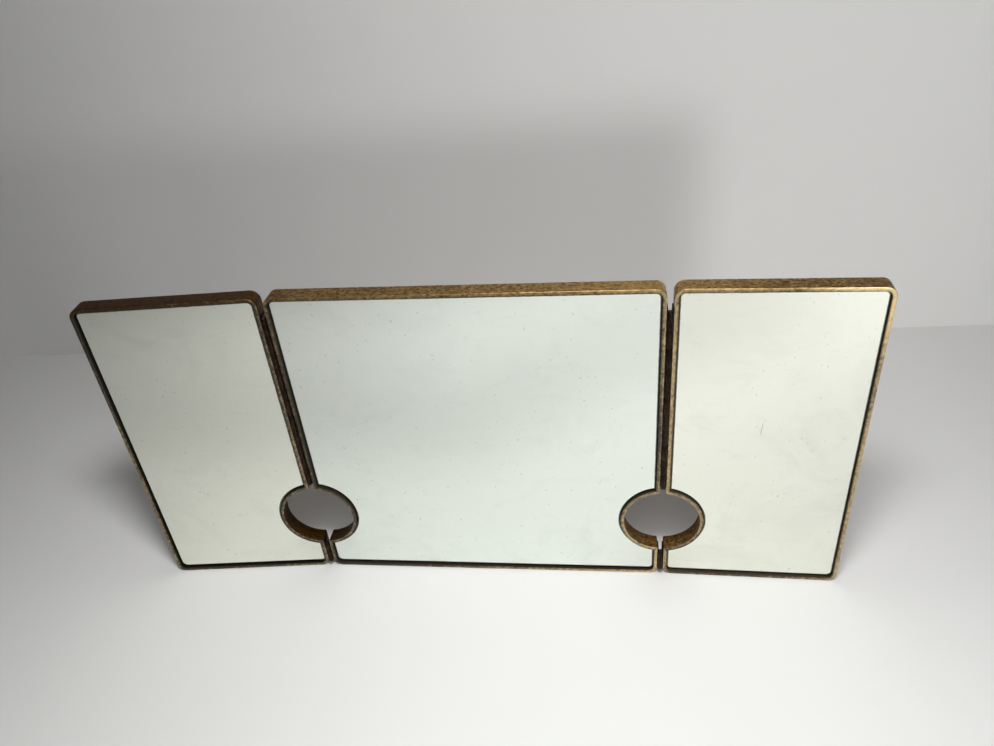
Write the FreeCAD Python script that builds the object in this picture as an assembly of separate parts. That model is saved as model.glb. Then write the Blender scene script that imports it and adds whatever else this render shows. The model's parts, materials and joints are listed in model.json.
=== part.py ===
# Three-panel folding vanity mirror: a wide centre panel with a narrow wing hinged on each side.
# Each panel is a mirror in a deep frame of flat brass strip. Where two panels meet, each frame
# bends round half of a round finger hole, and a long and a short barrel hinge join the two above
# and below the hole. The wings fold forward until they lie face to face with the centre panel.
# Millimetres, +Z up, mirrors facing -Y. The origin is the middle of the face on which the centre
# panel stands. The right half is modelled, and the left half is its mirror image.
import FreeCAD, Part
import math
import os

# Panels
centre_width = 300.0
wing_width = 147.0
panel_height = 287.0
frame_depth = 14.8
strip_thickness = 3.4
corner_radius = 8.0          # outer corners of each frame
edge_break = 0.4             # worn outer edges of the strip
left_rest_angle = 5.0        # degrees forward of flat at rest
right_rest_angle = 1.5

# Round finger hole shared by two panels, centred on the hinge line
hole_radius = 31.7
hole_height = 63.3
lip_radius = 1.5             # where the strip turns from the hinge side into the hole

# Small sunk slot in the top edge of the right wing's frame
slot_length = 6.0
slot_width = 2.2
slot_sink = 1.6
slot_aside = 1.8             # from the middle of the edge towards the outer side
slot_back = 1.9              # behind the middle of the frame's depth

# What the frame holds, from the front to the back
mirror_recess = 2.3
mirror_thickness = 3.0
mirror_clearance = 0.3
mastic_thickness = 0.9
mastic_width = 12.0
mastic_end_margin = 26.0
board_thickness = 4.8
board_clearance = 0.4
centre_bead_count = 3
wing_bead_count = 2

# Cleats soldered inside the frame, which the board is screwed against
cleat_thickness = 1.2
cleat_width = 12.0
cleat_length = 13.0
centre_cleat_count = 3       # along the top, and the same along the bottom
wing_cleat_count = 1
cleat_end_margin = 42.0      # first and last cleat from the ends of a panel
screw_shank_radius = 1.2
screw_hole_clearance = 0.2
screw_head_radius = 2.5
screw_head_height = 1.5
screw_head_rim = 0.6         # upright part of the head, below its sloping top
screw_head_top_radius = 1.5
screw_grip = 3.8             # length of shank in the board
driver_slot_width = 0.6
driver_slot_depth = 0.6

# Barrel hinges
pin_radius = 1.1
pin_end = 0.5                # peened end that stands past the barrel
running_clearance = 0.06     # between the pin and the wing's knuckles
leaf_thickness = 1.0
barrel_clearance = 0.3       # between the barrel and the frames beside it
closed_gap = 0.6             # between the frames when a wing is folded shut
leaf_reach = 12.0            # from the hinge line to the back edge of a leaf
knuckle_gap = 0.3
long_hinge_top_margin = 17.5
long_hinge_bottom_margin = 7.0
long_hinge_knuckle_count = 11
long_hinge_screw_count = 4
short_hinge_top_margin = 3.0
short_hinge_bottom_margin = 7.0
short_hinge_knuckle_count = 3
short_hinge_screw_count = 2
hinge_screw_radius = 1.0
hinge_screw_head_radius = 1.8
hinge_screw_head_height = 0.8
hinge_screw_tip_clearance = 0.3
hinge_screw_end_margin = 6.0

# Worked out from the sizes above
front_y = -frame_depth / 2
back_y = frame_depth / 2
barrel_radius = pin_radius + leaf_thickness
side_offset = barrel_radius + barrel_clearance            # hinge line to the side of each frame
hinge_x = centre_width / 2 + side_offset
hinge_y = front_y - closed_gap / 2
wing_inner_x = hinge_x + side_offset
wing_outer_x = wing_inner_x + wing_width
mirror_front_y = front_y + mirror_recess
board_front_y = mirror_front_y + mirror_thickness + mastic_thickness
board_back_y = board_front_y + board_thickness
hole_top_z = hole_height + hole_radius
hole_bottom_z = hole_height - hole_radius
long_hinge_span = (hole_top_z + long_hinge_bottom_margin, panel_height - long_hinge_top_margin)
short_hinge_span = (short_hinge_bottom_margin, hole_bottom_z - short_hinge_top_margin)
leaf_inner_offset = side_offset - leaf_thickness          # hinge line to the open face of a leaf
leaf_front = math.sqrt((barrel_radius + barrel_clearance) ** 2 - leaf_inner_offset ** 2)
leaf_screw_y = (leaf_front + leaf_reach) / 2

x_axis = FreeCAD.Vector(1, 0, 0)
y_axis = FreeCAD.Vector(0, 1, 0)
z_axis = FreeCAD.Vector(0, 0, 1)
origin = FreeCAD.Vector(0, 0, 0)
tiny = 1e-4


def point(x, y, z):
    return FreeCAD.Vector(x, y, z)


def box(low, high):
    size = high - low
    return Part.makeBox(size.x, size.y, size.z, low)


def one_piece(shapes):
    """Joins overlapping or touching shapes into one clean solid."""
    joined = shapes[0].fuse(shapes[1:])
    return joined.removeSplitter()


def evenly(low, high, count):
    """Evenly spaced places from low to high, or the middle when there is only one."""
    if count == 1:
        return [(low + high) / 2]
    return [low + (high - low) * number / (count - 1) for number in range(count)]


# ---------------------------------------------------------------- panels

def lies_along_y(edge):
    bounds = edge.BoundBox
    return bounds.XLength < tiny and bounds.ZLength < tiny


def panel_block(x_low, x_high, hinge_lines, inset, y_low, y_high):
    """A panel's outline, moved inwards by inset, as a slab with its round notches."""
    slab = box(point(x_low + inset, y_low, inset), point(x_high - inset, y_high, panel_height - inset))
    corners = [edge for edge in slab.Edges if lies_along_y(edge)]
    slab = slab.makeFillet(corner_radius - inset, corners)
    for line_x in hinge_lines:
        centre = point(line_x, y_low, hole_height)
        slab = slab.cut(Part.makeCylinder(hole_radius + inset, y_high - y_low, centre, y_axis))
    return slab


def lip_edges(block, hinge_lines):
    """The sharp edges where the hinge side of a block meets its round notches."""
    found = []
    for edge in block.Edges:
        if not lies_along_y(edge):
            continue
        middle = edge.CenterOfMass
        for line_x in hinge_lines:
            beside_hinge = abs(abs(middle.x - line_x) - side_offset) < tiny
            on_hole = abs(math.hypot(middle.x - line_x, middle.z - hole_height) - hole_radius) < tiny
            if beside_hinge and on_hole:
                found.append(edge)
    return found


def rim_edges(block):
    """All edges of the front and the back face."""
    found = []
    for edge in block.Edges:
        bounds = edge.BoundBox
        on_front = abs(bounds.YMax - front_y) < tiny
        on_back = abs(bounds.YMin - back_y) < tiny
        if on_front or on_back:
            found.append(edge)
    return found


def frame(x_low, x_high, hinge_lines):
    """The flat strip bent round a panel and round its half of each finger hole."""
    outside = panel_block(x_low, x_high, hinge_lines, 0, front_y, back_y)
    outside = outside.makeFillet(lip_radius, lip_edges(outside, hinge_lines))
    outside = outside.makeChamfer(edge_break, rim_edges(outside))
    past = frame_depth
    inside = panel_block(x_low, x_high, hinge_lines, strip_thickness, front_y - past, back_y + past)
    ring = outside.cut(inside)
    for line_x in hinge_lines:
        ring = ring.cut(hinge_screw_holes(line_x, x_low))
    return ring


def top_slot(middle_x):
    """The small round-ended slot sunk near the middle of a top edge."""
    half = (slot_length - slot_width) / 2
    radius = slot_width / 2
    low = point(middle_x + slot_aside, slot_back, panel_height - slot_sink)
    height = 2 * slot_sink
    bar = box(low + point(-half, -radius, 0), low + point(half, radius, height))
    ends = [Part.makeCylinder(radius, height, low + point(side * half, 0, 0), z_axis) for side in (-1, 1)]
    return one_piece([bar] + ends)


def mirror_glass(x_low, x_high, hinge_lines):
    inset = strip_thickness + mirror_clearance
    return panel_block(x_low, x_high, hinge_lines, inset, mirror_front_y, mirror_front_y + mirror_thickness)


def mastic_beads(x_low, x_high, count):
    """Upright flat beads that stick the mirror to the board."""
    step = (x_high - x_low) / (count + 1)
    low_y = mirror_front_y + mirror_thickness
    beads = []
    for number in range(count):
        middle = x_low + step * (number + 1)
        low = point(middle - mastic_width / 2, low_y, mastic_end_margin)
        high = point(middle + mastic_width / 2, board_front_y, panel_height - mastic_end_margin)
        bead = box(low, high)
        ends = [edge for edge in bead.Edges if lies_along_y(edge)]
        beads.append(bead.makeFillet(mastic_width * 0.45, ends))
    return Part.makeCompound(beads)


def cleat_places(x_low, x_high, count):
    """Where each cleat meets the frame, and the angle about Y that turns it from +X to inwards."""
    low_z = strip_thickness
    high_z = panel_height - strip_thickness
    places = []
    for middle_x in evenly(x_low + cleat_end_margin, x_high - cleat_end_margin, count):
        places.append((point(middle_x, board_back_y, low_z), -90))
        places.append((point(middle_x, board_back_y, high_z), 90))
    upright_z = (hole_top_z + high_z) / 2
    places.append((point(x_low + strip_thickness, board_back_y, upright_z), 0))
    places.append((point(x_high - strip_thickness, board_back_y, upright_z), 180))
    return places


def set_in_place(shape, place, angle):
    placed = shape.copy()
    placed.rotate(origin, y_axis, angle)
    placed.translate(place)
    return placed


def cleat():
    """A flat tab with a round free end. Its root is at the origin and it points along +X."""
    radius = cleat_width / 2
    eye_x = cleat_length - radius
    bar = box(point(0, 0, -radius), point(eye_x, cleat_thickness, radius))
    tip = Part.makeCylinder(radius, cleat_thickness, point(eye_x, 0, 0), y_axis)
    hole_radius_here = screw_shank_radius + screw_hole_clearance
    hole = Part.makeCylinder(hole_radius_here, cleat_thickness, point(eye_x, 0, 0), y_axis)
    return one_piece([bar, tip]).cut(hole)


def cleat_screw():
    """A slotted round-head screw that stands in a cleat, with its head at the back."""
    eye_x = cleat_length - cleat_width / 2
    under_head = point(eye_x, cleat_thickness, 0)
    shank_length = cleat_thickness + screw_grip
    shank = Part.makeCylinder(screw_shank_radius, shank_length, under_head, y_axis * -1)
    rim = Part.makeCylinder(screw_head_radius, screw_head_rim, under_head, y_axis)
    crown_start = under_head + y_axis * screw_head_rim
    crown_height = screw_head_height - screw_head_rim
    crown = Part.makeCone(screw_head_radius, screw_head_top_radius, crown_height, crown_start, y_axis)
    head_top = cleat_thickness + screw_head_height
    half = driver_slot_width / 2
    driver_slot = box(point(eye_x - screw_head_radius, head_top - driver_slot_depth, -half),
                      point(eye_x + screw_head_radius, head_top + driver_slot_depth, half))
    return one_piece([shank, rim, crown]).cut(driver_slot)


def cleats(places):
    return Part.makeCompound([set_in_place(cleat(), place, angle) for place, angle in places])


def cleat_screws(places):
    return Part.makeCompound([set_in_place(cleat_screw(), place, angle) for place, angle in places])


def backboard(x_low, x_high, hinge_lines, places):
    inset = strip_thickness + board_clearance
    board = panel_block(x_low, x_high, hinge_lines, inset, board_front_y, board_back_y)
    eye_x = cleat_length - cleat_width / 2
    pilot = Part.makeCylinder(screw_shank_radius, screw_grip, point(eye_x, 0, 0), y_axis * -1)
    for place, angle in places:
        board = board.cut(set_in_place(pilot, place, angle))
    return board


def panel_pieces(panel, x_low, x_high, hinge_lines, cleat_count, bead_count):
    places = cleat_places(x_low, x_high, cleat_count)
    return {
        panel + "_frame": frame(x_low, x_high, hinge_lines),
        panel + "_mirror": mirror_glass(x_low, x_high, hinge_lines),
        panel + "_mastic": mastic_beads(x_low, x_high, bead_count),
        panel + "_backboard": backboard(x_low, x_high, hinge_lines, places),
        panel + "_cleats": cleats(places),
        panel + "_cleat_screws": cleat_screws(places),
    }


# ---------------------------------------------------------------- hinges
# A hinge is modelled on the line x = 0, y = 0, with the leaf of the centre panel on the -X side.

def hinge_screw_heights(span, count):
    low_z, high_z = span
    return evenly(low_z + hinge_screw_end_margin, high_z - hinge_screw_end_margin, count)


def hinge_screw(height, shank_radius, head_radius, head_height):
    """A countersunk screw, flush in the open face of the leaf, that points along -X."""
    head_face = point(-leaf_inner_offset, leaf_screw_y, height)
    length = leaf_thickness + strip_thickness - hinge_screw_tip_clearance
    shank = Part.makeCylinder(shank_radius, length, head_face, x_axis * -1)
    head = Part.makeCone(head_radius, shank_radius, head_height, head_face, x_axis * -1)
    return one_piece([shank, head])


def plain_hinge_screws(span, count):
    return [hinge_screw(height, hinge_screw_radius, hinge_screw_head_radius, hinge_screw_head_height)
            for height in hinge_screw_heights(span, count)]


def slotted_hinge_screws(span, count):
    half = driver_slot_width / 2
    face_x = -leaf_inner_offset
    depth = hinge_screw_head_height / 2
    screws = []
    for screw, height in zip(plain_hinge_screws(span, count), hinge_screw_heights(span, count)):
        low = point(face_x - depth, leaf_screw_y - hinge_screw_head_radius, height - half)
        high = point(face_x + depth, leaf_screw_y + hinge_screw_head_radius, height + half)
        screws.append(screw.cut(box(low, high)))
    return Part.makeCompound(screws)


def hinge_screw_holes(line_x, x_low):
    """The screw holes of both hinges in the frame beside a hinge line."""
    screws = plain_hinge_screws(long_hinge_span, long_hinge_screw_count)
    screws += plain_hinge_screws(short_hinge_span, short_hinge_screw_count)
    holes = Part.makeCompound(screws)
    frame_is_right_of_line = x_low > line_x
    if frame_is_right_of_line:
        holes = holes.mirror(origin, x_axis)
    holes.translate(point(line_x, hinge_y, 0))
    return holes


def knuckle(low_z, high_z, bore_radius):
    """One rolled knuckle and the neck that joins it to its leaf."""
    tube = Part.makeCylinder(barrel_radius, high_z - low_z, point(0, 0, low_z), z_axis)
    corners = [(-barrel_radius, 0), (-side_offset, leaf_front)]
    corners += [(-leaf_inner_offset, leaf_front), (-pin_radius, 0)]
    outline = Part.makePolygon([point(x, y, low_z) for x, y in corners + corners[:1]])
    neck = Part.Face(outline).extrude(point(0, 0, high_z - low_z))
    bore = Part.makeCylinder(bore_radius, high_z - low_z, point(0, 0, low_z), z_axis)
    return one_piece([tube, neck]).cut(bore)


def hinge_leaf(span, knuckle_count, first_knuckle, bore_radius, screw_count):
    """A leaf with every second knuckle, countersunk for its screws."""
    low_z, high_z = span
    plate = box(point(-side_offset, leaf_front, low_z), point(-leaf_inner_offset, leaf_reach, high_z))
    pitch = (high_z - low_z + knuckle_gap) / knuckle_count
    knuckles = []
    for number in range(first_knuckle, knuckle_count, 2):
        start = low_z + pitch * number
        knuckles.append(knuckle(start, start + pitch - knuckle_gap, bore_radius))
    leaf = one_piece([plate] + knuckles)
    return leaf.cut(Part.makeCompound(plain_hinge_screws(span, screw_count)))


def hinge_pin(span):
    low_z, high_z = span
    length = high_z - low_z + 2 * pin_end
    pin = Part.makeCylinder(pin_radius, length, point(0, 0, low_z - pin_end), z_axis)
    rims = [edge for edge in pin.Edges if edge.BoundBox.ZLength < tiny]
    return pin.makeChamfer(pin_end * 0.8, rims)


def hinge_pieces(hinge, span, knuckle_count, screw_count):
    """The pieces of the right-hand hinge: those on the centre panel, then those on the wing."""
    centre_side = {
        hinge + "_centre_leaf": hinge_leaf(span, knuckle_count, 0, pin_radius, screw_count),
        hinge + "_centre_screws": slotted_hinge_screws(span, screw_count),
        hinge + "_pin": hinge_pin(span),
    }
    wing_bore = pin_radius + running_clearance
    wing_side = {
        hinge + "_wing_leaf": hinge_leaf(span, knuckle_count, 1, wing_bore, screw_count),
        hinge + "_wing_screws": slotted_hinge_screws(span, screw_count),
    }
    for name, shape in wing_side.items():
        wing_side[name] = shape.mirror(origin, x_axis)
    for shape in list(centre_side.values()) + list(wing_side.values()):
        shape.translate(point(hinge_x, hinge_y, 0))
    return centre_side, wing_side


# ---------------------------------------------------------------- assembly

def fold_to_rest(shape, side):
    """Turns a wing's piece forward about its hinge line, from flat to its rest angle."""
    turned = shape.copy()
    if side == "right":
        turned.rotate(point(hinge_x, hinge_y, 0), z_axis, -right_rest_angle)
    else:
        turned.rotate(point(-hinge_x, hinge_y, 0), z_axis, left_rest_angle)
    return turned


def side_pieces(side):
    """Everything on one side of the centre panel, by node name."""
    on_centre = {}
    on_wing = panel_pieces("wing", wing_inner_x, wing_outer_x, [hinge_x], wing_cleat_count, wing_bead_count)
    if side == "right":
        slot = top_slot((wing_inner_x + wing_outer_x) / 2)
        on_wing["wing_frame"] = on_wing["wing_frame"].cut(slot)
    hinges = (("upper_hinge", long_hinge_span, long_hinge_knuckle_count, long_hinge_screw_count),
              ("lower_hinge", short_hinge_span, short_hinge_knuckle_count, short_hinge_screw_count))
    for hinge, span, knuckle_count, screw_count in hinges:
        centre_side, wing_side = hinge_pieces(hinge, span, knuckle_count, screw_count)
        on_centre.update(centre_side)
        on_wing.update(wing_side)
    pieces = {}
    for group, turns in ((on_centre, False), (on_wing, True)):
        for name, shape in group.items():
            if side == "left":
                shape = shape.mirror(origin, x_axis)
            if turns:
                shape = fold_to_rest(shape, side)
            pieces[side + "_" + name] = shape
    return pieces


def build():
    os.makedirs("parts", exist_ok=True)
    half = centre_width / 2
    pieces = panel_pieces("centre", -half, half, [-hinge_x, hinge_x], centre_cleat_count, centre_bead_count)
    pieces.update(side_pieces("left"))
    pieces.update(side_pieces("right"))
    for node, shape in pieces.items():
        shape.exportStep("parts/" + node + ".step")
        print(node, "solids", len(shape.Solids), "volume", round(shape.Volume, 1))


build()
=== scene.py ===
import bmesh
import bpy
import json
import math
from mathutils import Matrix, Vector
from mathutils.geometry import intersect_point_line
from mathutils.kdtree import KDTree

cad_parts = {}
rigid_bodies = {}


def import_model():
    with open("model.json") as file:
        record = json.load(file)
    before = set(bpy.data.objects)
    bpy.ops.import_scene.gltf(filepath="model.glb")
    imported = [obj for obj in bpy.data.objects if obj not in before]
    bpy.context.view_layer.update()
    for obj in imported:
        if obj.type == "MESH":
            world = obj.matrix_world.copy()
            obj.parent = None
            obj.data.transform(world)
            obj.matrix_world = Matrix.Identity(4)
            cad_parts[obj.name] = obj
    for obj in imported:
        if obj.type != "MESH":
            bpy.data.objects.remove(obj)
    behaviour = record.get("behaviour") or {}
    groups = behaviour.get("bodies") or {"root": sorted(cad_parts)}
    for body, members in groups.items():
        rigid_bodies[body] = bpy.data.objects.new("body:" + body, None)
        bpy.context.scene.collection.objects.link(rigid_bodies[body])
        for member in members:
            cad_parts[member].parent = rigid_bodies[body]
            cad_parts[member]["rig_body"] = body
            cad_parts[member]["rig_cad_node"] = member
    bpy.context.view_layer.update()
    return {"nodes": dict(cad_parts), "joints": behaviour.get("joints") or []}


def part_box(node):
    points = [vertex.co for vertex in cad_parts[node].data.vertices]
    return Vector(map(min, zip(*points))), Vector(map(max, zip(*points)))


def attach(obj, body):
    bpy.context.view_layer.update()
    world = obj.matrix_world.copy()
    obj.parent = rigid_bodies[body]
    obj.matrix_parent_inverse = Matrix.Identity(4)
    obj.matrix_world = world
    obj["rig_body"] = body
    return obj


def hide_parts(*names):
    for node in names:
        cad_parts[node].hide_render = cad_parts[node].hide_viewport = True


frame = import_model()
print("frame loaded:", len(frame["nodes"]), "nodes")


# where the parts lie, read from the loaded model

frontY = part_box("centre_frame")[0].y
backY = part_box("centre_frame")[1].y
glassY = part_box("centre_mirror")[0].y
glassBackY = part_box("centre_mirror")[1].y
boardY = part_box("centre_backboard")[0].y
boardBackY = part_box("centre_backboard")[1].y
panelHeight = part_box("centre_frame")[1].z
hingeLine = {joint["child"]: Vector(joint["pos_m"]) for joint in frame["joints"]}

panelShape = {
    "stripThickness": 0.0034,
    "cornerRadius": 0.008,
    "holeRadius": 0.0317,
    "holeHeight": 0.0633,
    "wingWidth": 0.147,
    "glassClearance": 0.0003,
    "boardClearance": 0.0004,
    "sideGap": 0.0024,        # hinge line to the side of each frame
    "stepLength": 0.005,      # spacing of cross-sections along straight runs
    "cornerSteps": 10,
    "holeSteps": 44,
    "mouthTurn": 7.0,         # degrees of the first and the last step round a hole
}

# each panel: the body it rides on, its sides when flat, its hinge lines and its turn from flat at rest
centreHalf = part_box("centre_frame")[1].x
wingStart = hingeLine["right_wing"].x + panelShape["sideGap"]
wingEnd = wingStart + panelShape["wingWidth"]
panels = {
    "centre": {
        "body": "centre_panel", "sides": (-centreHalf, centreHalf),
        "leftNotch": hingeLine["left_wing"].x, "rightNotch": hingeLine["right_wing"].x, "turn": 0.0,
    },
    "left_wing": {
        "body": "left_wing", "sides": (-wingEnd, -wingStart),
        "leftNotch": None, "rightNotch": hingeLine["left_wing"].x, "turn": 5.0,
    },
    "right_wing": {
        "body": "right_wing", "sides": (wingStart, wingEnd),
        "leftNotch": hingeLine["right_wing"].x, "rightNotch": None, "turn": -1.5,
    },
}


# small modelling steps

def limited(share):
    # kept between 0 and 1
    return min(1.0, max(0.0, share))


def between(low, middle, high, share):
    # from low over middle to high as the share goes from 0 to 1
    if share < 0.5:
        return low + (middle - low) * share * 2
    return middle + (high - middle) * (share * 2 - 1)


def reachBack(edge):
    # how far an edge runs from front to back
    return abs(edge.verts[0].co.y - edge.verts[1].co.y)


def pickNothing():
    bpy.ops.object.select_all(action="DESELECT")


def pickPiece(piece):
    pickNothing()
    piece.select_set(True)
    bpy.context.view_layer.objects.active = piece


def pickEdges(piece, isWanted):
    # in edit mode: selects the edges that pass the test
    bpy.ops.mesh.select_mode(type="EDGE")
    bpy.ops.mesh.select_all(action="DESELECT")
    mesh = bmesh.from_edit_mesh(piece.data)
    for edge in mesh.edges:
        edge.select_set(isWanted(edge))
    mesh.select_flush_mode()
    bmesh.update_edit_mesh(piece.data)


def applyModifier(piece, kind, **settings):
    pickPiece(piece)
    modifier = piece.modifiers.new(kind, kind)
    for name, value in settings.items():
        setattr(modifier, name, value)
    bpy.ops.object.modifier_apply(modifier=modifier.name)


def settle(piece):
    # puts the piece's place and turn into its mesh
    pickPiece(piece)
    bpy.ops.object.transform_apply(location=True, rotation=True, scale=True)


def turnToRest(piece, panel):
    # a wing's piece, modelled flat, turns about its hinge line to its rest angle
    turn = panels[panel]["turn"]
    if turn:
        pickPiece(piece)
        centre = hingeLine[panel]
        # without a window the operator turns the other way
        bpy.ops.transform.rotate(value=-math.radians(turn), orient_axis="Z", center_override=centre)
        settle(piece)


def smoothByAngle(piece, degrees):
    pickPiece(piece)
    bpy.ops.object.shade_smooth_by_angle(angle=math.radians(degrees))


# the outline of a panel, drawn as by hand with one vertex that is pushed along the straight
# runs and spun round the corners and the finger holes, counterclockwise seen from the front

def startVertex(name, place):
    # a tiny plane, merged into one vertex
    pickNothing()
    bpy.ops.mesh.primitive_plane_add(size=0.001, location=place)
    piece = bpy.context.object
    piece.name = name
    settle(piece)
    bpy.ops.object.mode_set(mode="EDIT")
    bpy.ops.mesh.select_mode(type="VERT")
    bpy.ops.mesh.select_all(action="SELECT")
    bpy.ops.mesh.merge(type="CENTER")
    return piece


def pushVertex(x, z):
    steps = max(1, round(math.hypot(x, z) / panelShape["stepLength"]))
    for number in range(steps):
        bpy.ops.mesh.extrude_region_move(TRANSFORM_OT_translate={"value": (x / steps, 0, z / steps)})


def spinVertex(x, y, z, degrees, steps):
    bpy.ops.mesh.spin(steps=steps, angle=math.radians(degrees), center=(x, y, z), axis=(0, 1, 0))


def drawSide(lowZ, highZ, sideX, notchX, inset, y, way):
    # one upright side, up (way 1) or down (way -1), round its notch if it has one
    length = highZ - lowZ
    if notchX is None:
        pushVertex(0, length * way)
        return
    radius = panelShape["holeRadius"] + inset
    gap = abs(notchX - sideX)
    halfMouth = math.sqrt(radius ** 2 - gap ** 2)
    below = panelShape["holeHeight"] - halfMouth - lowZ
    above = highZ - panelShape["holeHeight"] - halfMouth
    runs = (below, above) if way == 1 else (above, below)
    pushVertex(0, runs[0] * way)
    # the first and last steps round the hole are long, so that the strip's inner corner fits beside them
    mouth = panelShape["mouthTurn"]
    ring = 2 * math.degrees(math.acos(gap / radius)) - 2 * mouth
    for turn, steps in ((mouth, 1), (ring, panelShape["holeSteps"]), (mouth, 1)):
        spinVertex(notchX, y, panelShape["holeHeight"], -turn, steps)
    pushVertex(0, runs[1] * way)


def drawPanel(name, panel, inset, y):
    # leaves the outline filled with one face, in edit mode
    corner = panelShape["cornerRadius"] - inset
    lowX = panels[panel]["sides"][0] + inset
    highX = panels[panel]["sides"][1] - inset
    lowZ = inset
    highZ = panelHeight - inset
    width = highX - lowX - 2 * corner
    steps = panelShape["cornerSteps"]
    piece = startVertex(name, (lowX + corner, y, lowZ))
    pushVertex(width, 0)
    spinVertex(highX - corner, y, lowZ + corner, 90, steps)
    drawSide(lowZ + corner, highZ - corner, highX, panels[panel]["rightNotch"], inset, y, 1)
    spinVertex(highX - corner, y, highZ - corner, 90, steps)
    pushVertex(-width, 0)
    spinVertex(lowX + corner, y, highZ - corner, 90, steps)
    drawSide(lowZ + corner, highZ - corner, lowX, panels[panel]["leftNotch"], inset, y, -1)
    spinVertex(lowX + corner, y, lowZ + corner, 90, steps)
    bpy.ops.mesh.select_all(action="SELECT")
    bpy.ops.mesh.remove_doubles(threshold=1e-6)
    bpy.ops.mesh.select_all(action="SELECT")
    bpy.ops.mesh.edge_face_add()
    return piece


def outlinePlaces(piece):
    # the outline's points in order, with the run length up to each, and the length of the whole outline
    mesh = bmesh.from_edit_mesh(piece.data)
    mesh.faces.ensure_lookup_table()
    loop = [vertex.co.copy() for vertex in mesh.faces[0].verts]
    run = 0.0
    places = []
    for number, place in enumerate(loop):
        if number:
            run += (place - loop[number - 1]).length
        places.append((place, run))
    return places, run + (loop[0] - loop[-1]).length


# the frames are flat brass strip on edge, bent round the panel

# shares of bare brass colour, and below 0 the patina itself is darker; besides wear and patina they hold
# painted light and shade, lighter on the right wing and on the centre's right and upper parts, darker on
# the
# left wing: "outer" is for the strip's outer face and "front" for its front edge, each at the panel's left
# and right, at the foot, halfway up and at the top; "hole" is added to both round a finger hole, "holeTilt"
# to the front edge from a hole's foot to its top, and "sole" to the front edge of the foot, at its left,
# middle and right
stripWearAndLight = {
    "centre": {
        "outer": ((-0.16, 0.28), (0.0, 0.48), (0.08, 0.68)),
        "front": ((0.25, 0.78), (-0.10, 0.02), (0.22, 0.38)),
        "hole": (-0.34, -0.05), "holeTilt": 0.02, "sole": (-0.56, -0.31, -0.14),
    },
    "left_wing": {
        "outer": ((-0.32, -0.30), (-0.32, -0.30), (-0.34, -0.30)),
        "front": ((0.20, 0.26), (0.30, 0.18), (-0.30, 0.04)),
        "hole": (-0.16, -0.19), "holeTilt": 0.13, "sole": (-0.34, -0.19, -0.10),
    },
    "right_wing": {
        "outer": ((0.26, 0.24), (0.38, 0.18), (0.50, 0.12)),
        "front": ((0.46, 0.46), (0.46, 0.50), (0.46, 0.24)),
        "hole": (-0.34, -0.21), "holeTilt": 0.16, "sole": (-0.34, -0.52, -0.07),
    },
}
wearAndLightValues = {
    "holeMargin": 0.0005,     # what lies this near to the ring still belongs to the hole
    "holeFront": 0.16,        # added to a hole's wall at the front
    "holeFade": 0.32,         # taken off it again by the back
    "soleHeight": 0.004,      # all of the sole's wear is below this, and none above twice this
    "brownStart": 0.008,      # the front edge turns brown from this far below the top
    "brownFade": 0.006,
    # a painted highlight: the top right corner's front edge gets bare brass colour where a lamp glints
    "cornerHighlight": {"panel": "right_wing", "radius": 0.062, "share": 0.7},
}
stripValues = {
    "outerRim": (0.00045, 3),      # worn rounding of the outer edges: width and segments
    "innerRim": (0.0002, 2),
    "outerLip": (0.0014, 5),       # rounding where a side turns into a finger hole
    "innerLip": (0.0006, 3),
    "lipReach": 0.0005,            # an edge this near to a lip is part of it
    "depthCuts": 5,
    "waveDepth": 0.00016,          # how far the hand-bent strip wanders
    "waveLength": 0.035,
    "dentDepth": 0.00008,
    "dentLength": 0.006,
    "middle": 0.85,                # share of a wave or dent that goes inwards
    "slotLength": 0.0060,          # small slot sunk in the right wing's top edge
    "slotWidth": 0.0022,
    "slotSink": 0.0016,
    "slotAside": 0.0018,           # from the middle of the edge
    "slotBack": 0.0019,
    "nickX": 0.0445,               # small knock in the centre panel's top front rim
    "nickRadius": 0.0013,
    "nickShape": (1.0, 0.8, 0.5),
    "smoothAngle": 32,
}


def cloudTexture(name, size, depth):
    texture = bpy.data.textures.new(name, "CLOUDS")
    texture.noise_scale = size
    texture.noise_depth = depth
    return texture


def placeOnStrip(tree, places, place):
    # the run along the outline to the spot nearest to a place, and how far away that is
    flat = Vector((place.x, frontY, place.z))
    nearest = tree.find(flat)[1]
    found = []
    for number in (nearest - 1, nearest):
        start, run = places[number]
        end = places[(number + 1) % len(places)][0]
        share = intersect_point_line(flat, start, end)[1]
        spot = start.lerp(end, limited(share))
        found.append(((flat - spot).length, run + (spot - start).length))
    distance, run = min(found)
    return run, distance


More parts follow.
